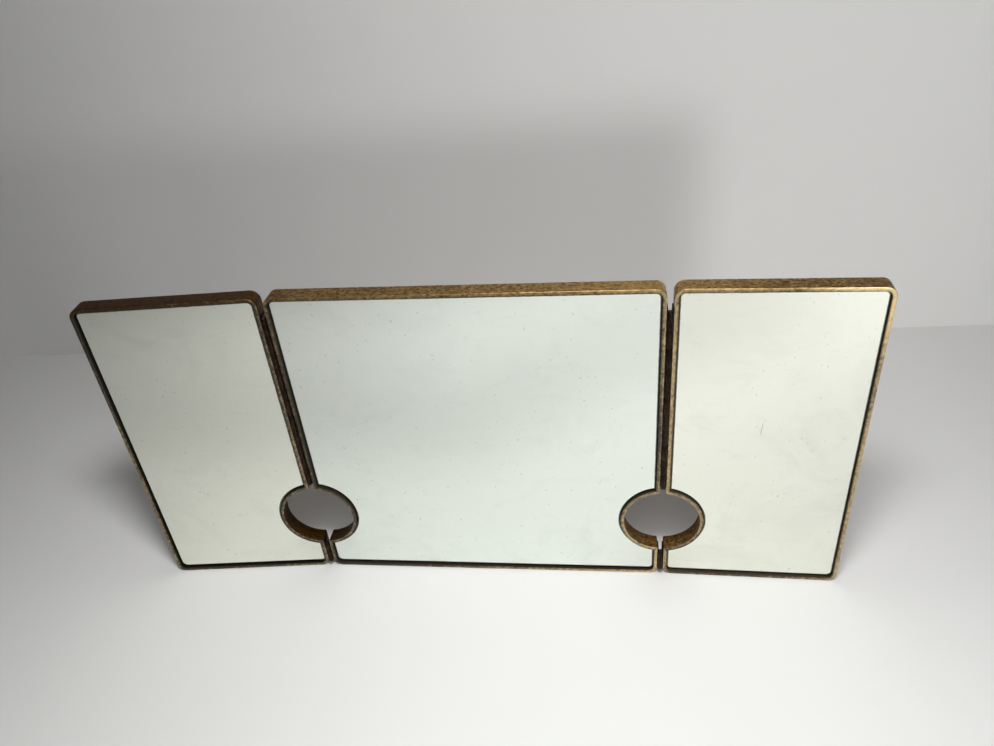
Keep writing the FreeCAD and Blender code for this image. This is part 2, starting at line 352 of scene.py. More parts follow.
def wearAndLightAt(panel, place):
    # the share of bare brass colour here, on the outer face and on the front edge, standing for wear and
    # also for painted light and shade, and how brown the front edge is
    wearAndLight = stripWearAndLight[panel]
    lowX, highX = panels[panel]["sides"]
    across = limited((place.x - lowX) / (highX - lowX))
    upward = limited(place.z / panelHeight)
    ringReach = panelShape["holeRadius"] + panelShape["stripThickness"] + wearAndLightValues["holeMargin"]
    inHole = False
    for notch in ("leftNotch", "rightNotch"):
        notchX = panels[panel][notch]
        if notchX is not None:
            away = math.hypot(place.x - notchX, place.z - panelShape["holeHeight"])
            inHole = inHole or away < ringReach
    found = []
    for number, face in enumerate(("outer", "front")):
        foot, middle, top = (left * (1 - across) + right * across for left, right in wearAndLight[face])
        share = between(foot, middle, top, upward)
        if inHole:
            share += wearAndLight["hole"][number]
        found.append(share)
    if inHole:
        # the wall of a hole is darker towards the back, partly patina and partly painted shade where little
        # light gets in, and its front edge changes from the foot up
        found[0] += wearAndLightValues["holeFront"] - wearAndLightValues["holeFade"] * (place.y - frontY) / (backY - frontY)
        found[1] += wearAndLight["holeTilt"] * (place.z - panelShape["holeHeight"]) / panelShape["holeRadius"]
    # the sole's front edge is dark, and the top run's is as brown as its outer face
    found[1] += between(*wearAndLight["sole"], across) * limited(2 - place.z / wearAndLightValues["soleHeight"])
    brown = limited((place.z - panelHeight + wearAndLightValues["brownStart"]) / wearAndLightValues["brownFade"])
    # painted highlight round the right wing's top right corner, which also takes the brown away there
    cornerHighlight = wearAndLightValues["cornerHighlight"]
    if panel == cornerHighlight["panel"]:
        away = math.hypot(place.x - highX, place.z - panelHeight) / cornerHighlight["radius"]
        bright = max(0.0, 1 - away * away)
        found[1] += cornerHighlight["share"] * bright
        brown *= 1 - bright
    found.append(brown)
    return found


def writeStripPlace(piece, panel, tree, places, fullRun):
    # attributes that hold each corner's place in the unbent strip (run along it, depth from the
    # front edge, and depth below its outer face) and, for each vertex, its shares of wear with painted
    # light and shade
    mesh = piece.data
    wearAndLight = mesh.attributes.new("stripWearAndLight", "FLOAT_VECTOR", "POINT")
    for vertex in mesh.vertices:
        wearAndLight.data[vertex.index].vector = wearAndLightAt(panel, vertex.co)
    found = [placeOnStrip(tree, places, vertex.co) for vertex in mesh.vertices]
    attribute = mesh.attributes.new("stripPlace", "FLOAT_VECTOR", "CORNER")
    for face in mesh.polygons:
        faceRuns = [found[index][0] for index in face.vertices]
        crossesStart = max(faceRuns) - min(faceRuns) > fullRun / 2
        for loop, index, run in zip(face.loop_indices, face.vertices, faceRuns):
            if crossesStart and run < fullRun / 2:
                run += fullRun
            attribute.data[loop].vector = (run, mesh.vertices[index].co.y - frontY, found[index][1])


def isRim(edge):
    # a sharp edge that runs along the outline
    return reachBack(edge) < 1e-6 and len(edge.link_faces) == 2 and edge.calc_face_angle() > 1.0


def bevelRims(piece, tree, isOuter, width, segments):
    thickness = panelShape["stripThickness"]

    def wanted(edge):
        if not isRim(edge):
            return False
        middle = (edge.verts[0].co + edge.verts[1].co) / 2
        distance = tree.find(Vector((middle.x, frontY, middle.z)))[2]
        # outer rims lie on the outline, and inner ones a strip's thickness inside it
        return (distance < thickness * 0.75) == isOuter

    pickEdges(piece, wanted)
    bpy.ops.mesh.bevel(offset=width, segments=segments, profile=0.5, clamp_overlap=True)


def lipPlaces(panel, inset):
    # where the sides of a panel meet its finger holes
    lips = []
    radius = panelShape["holeRadius"] + inset
    for notch, side, inwards in (("leftNotch", 0, 1), ("rightNotch", 1, -1)):
        notchX = panels[panel][notch]
        if notchX is not None:
            sideX = panels[panel]["sides"][side] + inset * inwards
            halfMouth = math.sqrt(radius ** 2 - (notchX - sideX) ** 2)
            lips.append((sideX, panelShape["holeHeight"] - halfMouth))
            lips.append((sideX, panelShape["holeHeight"] + halfMouth))
    return lips


def bevelLips(piece, lips, width, segments):
    def isLip(edge):
        middle = (edge.verts[0].co + edge.verts[1].co) / 2
        near = any(math.hypot(middle.x - x, middle.z - z) < stripValues["lipReach"] for x, z in lips)
        return near and reachBack(edge) > 0.001

    pickEdges(piece, isLip)
    bpy.ops.mesh.bevel(offset=width, segments=segments, profile=0.5, clamp_overlap=True)


def makeStrip(panel):
    name = panel + "_strip"
    piece = drawPanel(name, panel, 0.0, frontY)
    places, fullRun = outlinePlaces(piece)
    tree = KDTree(len(places))
    for number, (place, run) in enumerate(places):
        tree.insert(place, number)
    tree.balance()
    # the ring of the strip, seen from the front
    bpy.ops.mesh.select_all(action="SELECT")
    bpy.ops.mesh.inset(thickness=panelShape["stripThickness"], depth=0, use_even_offset=True)
    bpy.ops.mesh.delete(type="ONLY_FACE")
    # pulled back to the strip's depth
    bpy.ops.mesh.select_all(action="SELECT")
    bpy.ops.mesh.extrude_region_move(TRANSFORM_OT_translate={"value": (0, backY - frontY, 0)})
    bpy.ops.mesh.select_all(action="SELECT")
    bpy.ops.mesh.normals_make_consistent(inside=False)
    # the lips, where the side turns into the finger hole, first outside and then inside the strip
    bevelLips(piece, lipPlaces(panel, 0.0), *stripValues["outerLip"])
    bevelLips(piece, lipPlaces(panel, panelShape["stripThickness"]), *stripValues["innerLip"])
    bevelRims(piece, tree, True, *stripValues["outerRim"])
    bevelRims(piece, tree, False, *stripValues["innerRim"])
    # more cross-sections through the depth, for the waves
    pickEdges(piece, lambda edge: reachBack(edge) > 0.005)
    bpy.ops.mesh.subdivide(number_cuts=stripValues["depthCuts"])
    bpy.ops.object.mode_set(mode="OBJECT")
    wave = cloudTexture(name + "Wave", stripValues["waveLength"], 1)
    applyModifier(piece, "DISPLACE", texture=wave, strength=stripValues["waveDepth"],
                  mid_level=stripValues["middle"])
    dent = cloudTexture(name + "Dent", stripValues["dentLength"], 2)
    applyModifier(piece, "DISPLACE", texture=dent, strength=stripValues["dentDepth"],
                  mid_level=stripValues["middle"])
    if panel == "right_wing":
        cutTopSlot(piece, panel)
    if panel == "centre":
        cutNick(piece)
    writeStripPlace(piece, panel, tree, places, fullRun)
    turnToRest(piece, panel)
    smoothByAngle(piece, stripValues["smoothAngle"])
    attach(piece, panels[panel]["body"])
    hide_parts(panel + "_frame")
    return piece


def cutNick(piece):
    pickNothing()
    bpy.ops.mesh.primitive_ico_sphere_add(subdivisions=3, radius=stripValues["nickRadius"],
                                          location=(stripValues["nickX"], frontY, panelHeight))
    cutter = bpy.context.object
    cutter.scale = stripValues["nickShape"]
    settle(cutter)
    applyModifier(piece, "BOOLEAN", object=cutter, operation="DIFFERENCE", solver="EXACT")
    bpy.data.objects.remove(cutter)


def cutTopSlot(piece, panel):
    middleX = sum(panels[panel]["sides"]) / 2 + stripValues["slotAside"]
    middleY = (frontY + backY) / 2 + stripValues["slotBack"]
    pickNothing()
    bpy.ops.mesh.primitive_cube_add(size=1, location=(middleX, middleY, panelHeight))
    cutter = bpy.context.object
    cutter.scale = (stripValues["slotLength"], stripValues["slotWidth"], 2 * stripValues["slotSink"])
    settle(cutter)
    bpy.ops.object.mode_set(mode="EDIT")
    pickEdges(cutter, lambda edge: abs(edge.verts[0].co.z - edge.verts[1].co.z) > 0.001)
    # nearly half the width, so that the slot's ends are round
    bpy.ops.mesh.bevel(offset=stripValues["slotWidth"] * 0.49, segments=8, profile=0.5)
    bpy.ops.object.mode_set(mode="OBJECT")
    applyModifier(piece, "BOOLEAN", object=cutter, operation="DIFFERENCE", solver="EXACT")
    bpy.data.objects.remove(cutter)


# the mirrors are glass with ground edges, silvered and set back in the strip

glassValues = {
    "groundEdge": 0.0004,
    "tarnishAndShadeWidth": 0.0018,   # how far in from the edge the silver is darkened, as tarnish and as painted shade of the recess
}
boardValues = {"brokenEdge": 0.0005}


def makeSheet(name, panel, clearance, y, thickness, edgeBevel):
    piece = drawPanel(name, panel, panelShape["stripThickness"] + clearance, y)
    bpy.ops.mesh.select_all(action="SELECT")
    bpy.ops.mesh.extrude_region_move(TRANSFORM_OT_translate={"value": (0, thickness, 0)})
    bpy.ops.mesh.select_all(action="SELECT")
    bpy.ops.mesh.normals_make_consistent(inside=False)
    pickEdges(piece, isRim)
    bpy.ops.mesh.bevel(offset=edgeBevel, segments=2, profile=0.5, clamp_overlap=True)
    bpy.ops.object.mode_set(mode="OBJECT")
    return piece


def frameTarnishAndShade(piece):
    # a narrow border on the front face, and an attribute that fades across it from 1 at the edge to 0
    pickPiece(piece)
    bpy.ops.object.mode_set(mode="EDIT")
    bpy.ops.mesh.select_mode(type="FACE")
    bpy.ops.mesh.select_all(action="DESELECT")
    mesh = bmesh.from_edit_mesh(piece.data)
    front = max((face for face in mesh.faces if face.normal.y < -0.9), key=lambda face: face.calc_area())
    front.select_set(True)
    mesh.faces.active = front
    bmesh.update_edit_mesh(piece.data)
    bpy.ops.mesh.inset(thickness=glassValues["tarnishAndShadeWidth"], depth=0, use_even_offset=True)
    bpy.ops.object.mode_set(mode="OBJECT")
    clear = {index for face in piece.data.polygons if face.select for index in face.vertices}
    attribute = piece.data.attributes.new("edgeTarnishAndShade", "FLOAT", "POINT")
    for vertex in piece.data.vertices:
        attribute.data[vertex.index].value = 0.0 if vertex.index in clear else 1.0


def makeGlass(panel):
    thickness = glassBackY - glassY
    piece = makeSheet(panel + "_glass", panel, panelShape["glassClearance"], glassY, thickness,
                      glassValues["groundEdge"])
    frameTarnishAndShade(piece)
    turnToRest(piece, panel)
    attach(piece, panels[panel]["body"])
    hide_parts(panel + "_mirror")
    return piece


def makeBoard(panel):
    thickness = boardBackY - boardY
    piece = makeSheet(panel + "_board", panel, panelShape["boardClearance"], boardY, thickness,
                      boardValues["brokenEdge"])
    turnToRest(piece, panel)
    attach(piece, panels[panel]["body"])
    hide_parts(panel + "_backboard")
    return piece


# hinges, screws and cleats are the loaded shapes with their edges broken

finishValues = {
    "mergeDistance": 2e-6,
    "flatAngle": 0.5,         # faces that meet at less than this are one face
    "sharpAngle": 38,         # edges sharper than this are broken
    "smoothAngle": 35,
    "rims": {                 # width of a broken edge, and its segments
        "cleats": (0.0002, 2),
        "cleatScrews": (0.00012, 2),
        "leaf": (0.00015, 2),
        "hingeScrews": (0.0001, 1),
        "pin": (0.0001, 2),
    },
}


def refineNode(node, kind):
    rim, segments = finishValues["rims"][kind]
    source = frame["nodes"][node]
    piece = source.copy()
    piece.data = source.data.copy()
    piece.name = node + "_finished"
    piece.parent = None
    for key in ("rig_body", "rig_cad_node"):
        if key in piece:
            del piece[key]
    bpy.context.scene.collection.objects.link(piece)
    pickPiece(piece)
    bpy.ops.mesh.customdata_custom_splitnormals_clear()
    bpy.ops.object.mode_set(mode="EDIT")
    bpy.ops.mesh.select_all(action="SELECT")
    bpy.ops.mesh.remove_doubles(threshold=finishValues["mergeDistance"])
    bpy.ops.mesh.dissolve_limited(angle_limit=math.radians(finishValues["flatAngle"]))
    bpy.ops.object.mode_set(mode="OBJECT")
    applyModifier(piece, "BEVEL", width=rim, segments=segments, limit_method="ANGLE",
                  angle_limit=math.radians(finishValues["sharpAngle"]), use_clamp_overlap=True)
    smoothByAngle(piece, finishValues["smoothAngle"])
    body = source["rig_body"]
    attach(piece, body)
    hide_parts(node)
    return piece


# short ways to add material nodes

def startMaterial(name):
    material = bpy.data.materials.new(name)
    material.use_nodes = True
    tree = material.node_tree
    return material, tree, tree.nodes["Principled BSDF"]


def addNode(tree, kind, inputs=None, **settings):
    node = tree.nodes.new("ShaderNode" + kind)
    for name, value in settings.items():
        setattr(node, name, value)
    for name, value in (inputs or {}).items():
        if isinstance(value, bpy.types.NodeSocket):
            tree.links.new(value, node.inputs[name])
        else:
            node.inputs[name].default_value = value
    return node


def calculate(tree, operation, first, second=0.0, clamp=False):
    node = addNode(tree, "Math", {0: first, 1: second}, operation=operation, use_clamp=clamp)
    return node.outputs[0]


def total(tree, first, second, clamp=False):
    return calculate(tree, "ADD", first, second, clamp)


def difference(tree, first, second):
    return calculate(tree, "SUBTRACT", first, second)


def product(tree, first, second):
    return calculate(tree, "MULTIPLY", first, second)


def weighed(tree, parts):
    # the sum of sockets, each times its weight
    found = None
    for part, weight in parts:
        share = product(tree, part, weight)
        found = share if found is None else total(tree, found, share)
    return found


def objectPlace(tree):
    return addNode(tree, "TexCoord").outputs["Object"]


def readAttribute(tree, name):
    return addNode(tree, "Attribute", attribute_name=name).outputs


def separate(tree, place):
    return addNode(tree, "SeparateXYZ", {0: place}).outputs


def noise(tree, place, scale, detail=3.0, roughness=0.55, distortion=0.0):
    inputs = {"Vector": place, "Scale": scale, "Detail": detail, "Roughness": roughness,
              "Distortion": distortion}
    return addNode(tree, "TexNoise", inputs).outputs["Fac"]


def stretched(tree, place, scale, shift=(0, 0, 0)):
    return addNode(tree, "Mapping", {"Vector": place, "Scale": scale, "Location": shift}).outputs[0]


def ramp(tree, factor, stops):
    # each stop is a place and a colour, or a place and a grey value
    node = addNode(tree, "ValToRGB", {"Fac": factor})
    elements = node.color_ramp.elements
    while len(elements) < len(stops):
        elements.new(0.5)
    for element, (place, colour) in zip(elements, stops):
        element.position = place
        grey = isinstance(colour, (int, float))
        element.color = (colour, colour, colour, 1) if grey else (*colour, 1)
    return node.outputs["Color"]


def spread(tree, value, fromLow, fromHigh, toLow, toHigh, soft=False):
    return addNode(tree, "MapRange", {"Value": value, "From Min": fromLow, "From Max": fromHigh,
                                      "To Min": toLow, "To Max": toHigh},
                   interpolation_type="SMOOTHSTEP" if soft else "LINEAR").outputs[0]


def mixColour(tree, factor, first, second, blend="MIX"):
    node = addNode(tree, "Mix", data_type="RGBA", blend_type=blend)
    for index, value in ((0, factor), (6, first), (7, second)):
        if isinstance(value, bpy.types.NodeSocket):
            tree.links.new(value, node.inputs[index])
        elif isinstance(value, tuple):
            node.inputs[index].default_value = (*value, 1)
        else:
            node.inputs[index].default_value = value
    return node.outputs[2]


def feed(tree, shader, **sockets):
    names = {"colour": "Base Color", "metallic": "Metallic", "roughness": "Roughness", "normal": "Normal"}
    for name, value in sockets.items():
        socket = shader.inputs[names[name]]
        if isinstance(value, bpy.types.NodeSocket):
            tree.links.new(value, socket)
        elif isinstance(value, tuple):
            socket.default_value = (*value, 1)
        else:
            socket.default_value = value


def bump(tree, height, distance, strength=1.0):
    return addNode(tree, "Bump", {"Height": height, "Distance": distance, "Strength": strength}).outputs[0]


# aged brass has a dark brown patina, worn through to brass in flecks and along the edges

brassValues = {
    "fleckScale": 400.0,
    "grainScale": 1500.0,
    "blotchScale": 130.0,
    "hueScale": 330.0,
    "hueShift": (3.1, 1.7, 0.4),         # so that hues don't follow the flecks
    "cloudScale": 22.0,
    "runStretch": (0.72, 1.0, 1.0),      # flecks are longer along the strip
    "fleckWeight": 0.54,
    "grainWeight": 0.22,
    "blotchWeight": 0.14,
    "cloudWeight": 0.10,
    "contrast": 6.2,
    "frontContrast": 0.45,               # of the front edge, as a share of it
    "shadeWear": (-0.5, 0.0),            # the wear over which the patina goes from its shade to full light
    "shade": 0.22,
    "deepWear": (0.0, -0.3),             # and over which it takes on the deep tint
    "deepTint": (1.0, 0.82, 0.40),
    "quietWear": (-0.4, 0.1),            # and over which its flecks go from quiet to strong
    "quiet": 0.3,
    "rimShine": 0.14,                    # bare brass added along the front rim
    "frontLean": (0.14, -0.16),          # added to the front edge, from outside to inside: a painted highlight along the outer rim and painted shade towards the inner rim
    "bareBrass": (0.76, 0.58, 0.31),
    "warmBrass": (0.52, 0.325, 0.100),
    "patina": (                          # umber, red-brown and olive, by hue
        (0.36, (0.055, 0.030, 0.010)),
        (0.5, (0.180, 0.085, 0.024)),
        (0.62, (0.150, 0.105, 0.028)),
    ),
    "frontDark": (0.085, 0.074, 0.056),
    "frontBrown": (0.085, 0.056, 0.026),
    # near-black grime with painted shade of the recess, darkest on the left wing and lightest on the right
    "grimeAndShade": {
        "centre": (0.018, 0.014, 0.008),
        "left_wing": (0.006, 0.0045, 0.003),
        "right_wing": (0.036, 0.028, 0.018),
    },
    "rough": (0.52, 0.34),               # of patina and of bare brass
    "grimeAndShadeRough": 0.4,                   # added by the grime and painted shade
    "grimeAndShadeFront": 0.55,                  # how much of it is left at the front edge
    "pitDepth": 0.0001,
}
# where things lie on the strip: "Back" is behind the front edge, "Below" is below the outer face
stripZones = {
    "rim": (0.0011, 0.0002),             # both together
    "leanBelow": (0.0004, 0.0030),
    "frontBack": (0.0007, 0.0002),
    "innerWallBelow": (0.0024, 0.0031),
    "grimeAndShadeFrontBack": (0.0, 0.0004),
    "grimeAndShadeEndBack": (0.008, 0.014),
    "slotBelow": (0.00026, 0.00044),
    "slotEndBelow": (0.0020, 0.0026),
    "slotFrontBack": (0.0006, 0.0012),
    "slotEndBack": (0.0120, 0.0135),
}


def agedBrass(panel):
    material, tree, shader = startMaterial(panel + "Brass")
    values = brassValues
    zones = stripZones
    place = readAttribute(tree, "stripPlace")["Vector"]
    run, back, below = separate(tree, place)
    # these shares hold wear and also painted light and shade
    outerWearAndLight, frontWearAndLight, brown = separate(tree, readAttribute(tree, "stripWearAndLight")["Vector"])
    along = stretched(tree, place, values["runStretch"])
    fleck = noise(tree, along, values["fleckScale"], 3, 0.6, 0.4)
    grain = noise(tree, place, values["grainScale"], 2, 0.6)
    blotch = noise(tree, along, values["blotchScale"], 3, 0.6, 0.3)
    cloud = noise(tree, place, values["cloudScale"], 2)
    hue = noise(tree, stretched(tree, along, (1, 1, 1), values["hueShift"]), values["hueScale"], 3, 0.6)
    # how far a spot stands out from the wear around it
    uneven = weighed(tree, ((fleck, values["fleckWeight"]), (grain, values["grainWeight"]),
                            (blotch, values["blotchWeight"]), (cloud, values["cloudWeight"])))
    uneven = product(tree, difference(tree, uneven, 0.5), values["contrast"])
    # outer face: patina over warm brass, darkened where the share is below 0, partly deeper patina and
    # partly painted shade on the left wing and in the holes, and rubbed brighter along the rim
    patina = ramp(tree, hue, values["patina"])
    shade = spread(tree, outerWearAndLight, *values["shadeWear"], values["shade"], 1.0)
    patina = mixColour(tree, 1.0, patina, shade, "MULTIPLY")
    deep = mixColour(tree, 1.0, patina, values["deepTint"], "MULTIPLY")
    patina = mixColour(tree, spread(tree, outerWearAndLight, *values["deepWear"], 0.0, 1.0), patina, deep)
    rim = spread(tree, total(tree, back, below), *zones["rim"], 0.0, values["rimShine"])
    strong = spread(tree, outerWearAndLight, *values["quietWear"], values["quiet"], 1.0)
    share = total(tree, outerWearAndLight, product(tree, uneven, strong))
    share = total(tree, share, rim, clamp=True)
    outer = mixColour(tree, share, patina, values["warmBrass"])
    # front edge: paler brass with grey-brown dirt
    # the front edge is painted lighter at its outer rim, as a highlight, and darker towards its inner rim,
    # as shade
    lean = spread(tree, below, *zones["leanBelow"], *values["frontLean"])
    frontShare = total(tree, frontWearAndLight, product(tree, uneven, values["frontContrast"]))
    frontShare = total(tree, frontShare, lean, clamp=True)
    dirt = mixColour(tree, brown, values["frontDark"], values["frontBrown"])
    brass = mixColour(tree, product(tree, brown, 0.5), values["bareBrass"], values["warmBrass"])
    frontColour = mixColour(tree, frontShare, dirt, brass)
    front = spread(tree, back, *zones["frontBack"], 0.0, 1.0)
    colour = mixColour(tree, front, outer, frontColour)
    bare = mixColour(tree, front, share, frontShare)
    # grime and painted shade on the inner walls, where the glass sits, and down in the slot of the right
    # wing:
    # near-black and not metal, for the dark recess and slot as well as for dirt
    grimeAndShade = spread(tree, below, *zones["innerWallBelow"], 0.0, 1.0)
    grimeAndShade = product(tree, grimeAndShade, spread(tree, back, *zones["grimeAndShadeFrontBack"], values["grimeAndShadeFront"], 1.0))
    grimeAndShade = product(tree, grimeAndShade, spread(tree, back, *zones["grimeAndShadeEndBack"], 1.0, 0.0))
    slotShade = product(tree, spread(tree, below, *zones["slotBelow"], 0.0, 1.0),
                   spread(tree, back, *zones["slotFrontBack"], 0.0, 1.0))
    slotShade = product(tree, slotShade, spread(tree, back, *zones["slotEndBack"], 1.0, 0.0))
    slotShade = product(tree, slotShade, spread(tree, below, *zones["slotEndBelow"], 1.0, 0.0))
    grimeAndShade = calculate(tree, "MAXIMUM", grimeAndShade, slotShade)
    colour = mixColour(tree, grimeAndShade, colour, values["grimeAndShade"][panel])
    rough = total(tree, spread(tree, bare, 0.0, 1.0, *values["rough"]),
                  product(tree, grimeAndShade, values["grimeAndShadeRough"]), clamp=True)
    metal = spread(tree, grimeAndShade, 0.0, 1.0, 0.95, 0.0)
    feed(tree, shader, colour=colour, metallic=metal, roughness=rough,
         normal=bump(tree, fleck, values["pitDepth"], 0.5))
    shader.inputs["Specular IOR Level"].default_value = 0.15
    return material


# silvered glass with a green edge and a painted back

mirrorValues = {
    "silver": {
        "centre": (0.855, 0.90, 0.837),
        "left_wing": (0.879, 0.90, 0.806),
        "right_wing": (0.879, 0.90, 0.806),
    },
    "tarnishAndShade": {                         # where the silver is darkened along the edge, partly tarnish and partly painted shade of the recess
        "centre": (0.040, 0.034, 0.022),
        "left_wing": (0.024, 0.020, 0.013),
        "right_wing": (0.060, 0.052, 0.036),
    },
    "creep": 0.35,                       # how unevenly it comes in from the edge
    "creepScale": 240.0,
    "tarnishAndShadeRange": (0.50, 0.80),
    "tarnishAndShadeFull": 0.92,
    "shadeBand": 0.84,                        # what a painted band of shade across the mirrors leaves of the silver
    "shadeBandHeight": 0.177,
    "shadeBandRise": 0.5,                     # how steeply it goes up on the right
    "shadeBandReach": 0.095,
    "shadeBandWander": 0.08,
    "smears": 0.93,                      # what finger smears and wipe marks leave of the silver
    "smudgeScale": 17.0,
    "smudgeRange": (0.50, 0.72),         # where in the noise a mark starts and where it is full
    "wipeScale": 26.0,
    "wipeRange": (0.56, 0.70),
    "dust": 0.72,
    "dustScale": 330.0,
    "dustRange": (0.70, 0.76),
    "scratch": (0.10, 0.10, 0.08),
    "scratchLow": (0.2245, 0.1566),      # across and up
    "scratchHigh": (0.2259, 0.1711),
    "scratchWidth": 0.00016,
    "edgeGreen": (0.10, 0.22, 0.15),
    "edgePale": (0.15, 0.33, 0.225),
    "edgeScale": 900.0,
    "edgeRough": 0.4,
    "backPaint": (0.11, 0.10, 0.10),
    "thinPaint": (0.176, 0.16, 0.16),
    "paintScale": 120.0,
    "paintDepth": 0.0001,
    "paintRough": 0.6,
}


def scratch(tree, across, up):
    # 1 on a straight hairline, from its low end to its high end
    lowX, lowZ = mirrorValues["scratchLow"]
    highX, highZ = mirrorValues["scratchHigh"]
    width = mirrorValues["scratchWidth"]
    length = highZ - lowZ
    rise = difference(tree, up, lowZ)
    lean = product(tree, rise, (highX - lowX) / length)
    aside = calculate(tree, "ABSOLUTE", difference(tree, difference(tree, across, lowX), lean))
    line = spread(tree, aside, width * 1.6, width * 0.6, 0.0, 1.0)
    ends = product(tree, spread(tree, rise, 0.0, length * 0.2, 0.0, 1.0),
                   spread(tree, rise, length, length * 0.7, 0.0, 1.0))
    return product(tree, line, ends)


def marksIn(tree, pattern, reach):
    start, full = mirrorValues[reach]
    return ramp(tree, pattern, ((start, 0.0), (full, 1.0)))


def silverFace(panel):
    material, tree, shader = startMaterial(panel + "Silver")
    values = mirrorValues
    place = objectPlace(tree)
    across, back, up = separate(tree, place)
    speck = noise(tree, place, values["dustScale"], 2, 0.5)
    smudge = noise(tree, place, values["smudgeScale"], 4, 0.62, 1.4)
    wipe = noise(tree, stretched(tree, place, (1.0, 1.0, 3.2)), values["wipeScale"], 4, 0.65, 0.6)
    # a soft painted band of shade that darkens the reflection, level on the left and rising on the right
    silver = values["silver"][panel]
    shadedSilver = tuple(values["shadeBand"] * part for part in silver)
    rise = product(tree, calculate(tree, "MAXIMUM", across, 0.0), values["shadeBandRise"])
    away = difference(tree, difference(tree, up, rise), values["shadeBandHeight"])
    wander = product(tree, difference(tree, smudge, 0.5), values["shadeBandWander"])
    away = total(tree, calculate(tree, "ABSOLUTE", away), wander)
    shadeBand = spread(tree, away, 0.0, values["shadeBandReach"], 1.0, 0.0, soft=True)
    colour = mixColour(tree, shadeBand, silver, shadedSilver)
    # smears, wipe marks and specks of dust
    film = marksIn(tree, smudge, "smudgeRange")
    streak = product(tree, marksIn(tree, wipe, "wipeRange"), 0.5)
    dust = marksIn(tree, speck, "dustRange")
    for share, left in ((film, "smears"), (streak, "smears"), (dust, "dust")):
        colour = mixColour(tree, share, colour, (values[left],) * 3, "MULTIPLY")
    if panel == "right_wing":
        line = product(tree, scratch(tree, across, up), 0.75)
        colour = mixColour(tree, line, colour, values["scratch"])
    # the silver is darkened in from the edge, unevenly: partly tarnish, partly painted shade of the recess
    # round the glass
    creep = difference(tree, noise(tree, place, values["creepScale"], 4, 0.6), 0.5)
    border = total(tree, readAttribute(tree, "edgeTarnishAndShade")["Fac"], product(tree, creep, values["creep"]))
    border = spread(tree, border, *values["tarnishAndShadeRange"], 0.0, values["tarnishAndShadeFull"])
    colour = mixColour(tree, border, colour, values["tarnishAndShade"][panel])
    feed(tree, shader, colour=colour, metallic=1.0, roughness=0.0)
    return material


def glassEdge():
    material, tree, shader = startMaterial("groundGlassEdge")
    grain = noise(tree, objectPlace(tree), mirrorValues["edgeScale"], 3)
    colour = mixColour(tree, grain, mirrorValues["edgeGreen"], mirrorValues["edgePale"])
    feed(tree, shader, colour=colour, roughness=mirrorValues["edgeRough"])
    return material


def backPaint():
    material, tree, shader = startMaterial("mirrorBackPaint")
    flow = noise(tree, objectPlace(tree), mirrorValues["paintScale"], 4, 0.6)
    colour = mixColour(tree, flow, mirrorValues["backPaint"], mirrorValues["thinPaint"])
    feed(tree, shader, colour=colour, roughness=mirrorValues["paintRough"],
         normal=bump(tree, flow, mirrorValues["paintDepth"], 0.4))
    return material


# dark hardboard with a pressed mesh, for the backboards

hardboardValues = {
    "dark": (0.150, 0.090, 0.050),
    "light": (0.300, 0.190, 0.110),
    "fibreScale": 900.0,
    "stainScale": 18.0,
    "meshPitch": 0.0016,
    "meshDepth": 0.0002,
    "rough": 0.72,
}


def hardboard():
    material, tree, shader = startMaterial("stainedHardboard")
    values = hardboardValues
    place = objectPlace(tree)
    fibre = noise(tree, stretched(tree, place, (1.0, 1.0, 0.4)), values["fibreScale"], 4, 0.65, 0.4)
    stain = noise(tree, place, values["stainScale"], 3, 0.6)
    mixed = weighed(tree, ((fibre, 0.6), (stain, 0.4)))
    colour = ramp(tree, mixed, ((0.35, values["dark"]), (0.65, values["light"])))
    # the screen that the board was pressed on
    turns = 2 * math.pi / values["meshPitch"]
    across, back, up = separate(tree, place)
    waves = total(tree, calculate(tree, "SINE", product(tree, across, turns)),
                  calculate(tree, "SINE", product(tree, up, turns)))
    height = total(tree, product(tree, waves, 0.25), fibre)
    feed(tree, shader, colour=colour, roughness=values["rough"],
         normal=bump(tree, height, values["meshDepth"], 0.7))
    return material


# small metal parts

metalValues = {
    "hinge": {"dark": (0.008, 0.005, 0.004), "light": (0.060, 0.030, 0.020),
              "rough": (0.58, 0.38), "scale": 500.0},
    "pin": {"dark": (0.02, 0.015, 0.012), "light": (0.10, 0.08, 0.065),
            "rough": (0.57, 0.37), "scale": 700.0},
    "hingeScrew": {"dark": (0.05, 0.045, 0.04), "light": (0.26, 0.24, 0.20),
                   "rough": (0.48, 0.28), "scale": 900.0},
    "cleat": {"dark": (0.16, 0.10, 0.045), "light": (0.44, 0.31, 0.13),
              "rough": (0.54, 0.34), "scale": 380.0},
    "screw": {"dark": (0.22, 0.15, 0.06), "light": (0.62, 0.46, 0.20),
              "rough": (0.42, 0.22), "scale": 700.0},
}


def wornMetal(name):
    values = metalValues[name]
    material, tree, shader = startMaterial(name + "Metal")
    place = objectPlace(tree)
    fine = noise(tree, place, values["scale"], 4, 0.6, 0.4)
    broad = noise(tree, place, values["scale"] / 7, 2, 0.5)
    mixed = weighed(tree, ((fine, 0.65), (broad, 0.35)))
    colour = ramp(tree, mixed, ((0.40, values["dark"]), (0.68, values["light"])))
    rough = spread(tree, mixed, 0.0, 1.0, *values["rough"])
    feed(tree, shader, colour=colour, metallic=0.95, roughness=rough, normal=bump(tree, fine, 0.00008, 0.5))
    return material


# dark mastic between mirror and board

masticValues = {
    "dark": (0.02, 0.018, 0.015),
    "light": (0.06, 0.052, 0.045),
    "lumpScale": 220.0,
    "lumpDepth": 0.0004,
    "rough": 0.55,
}


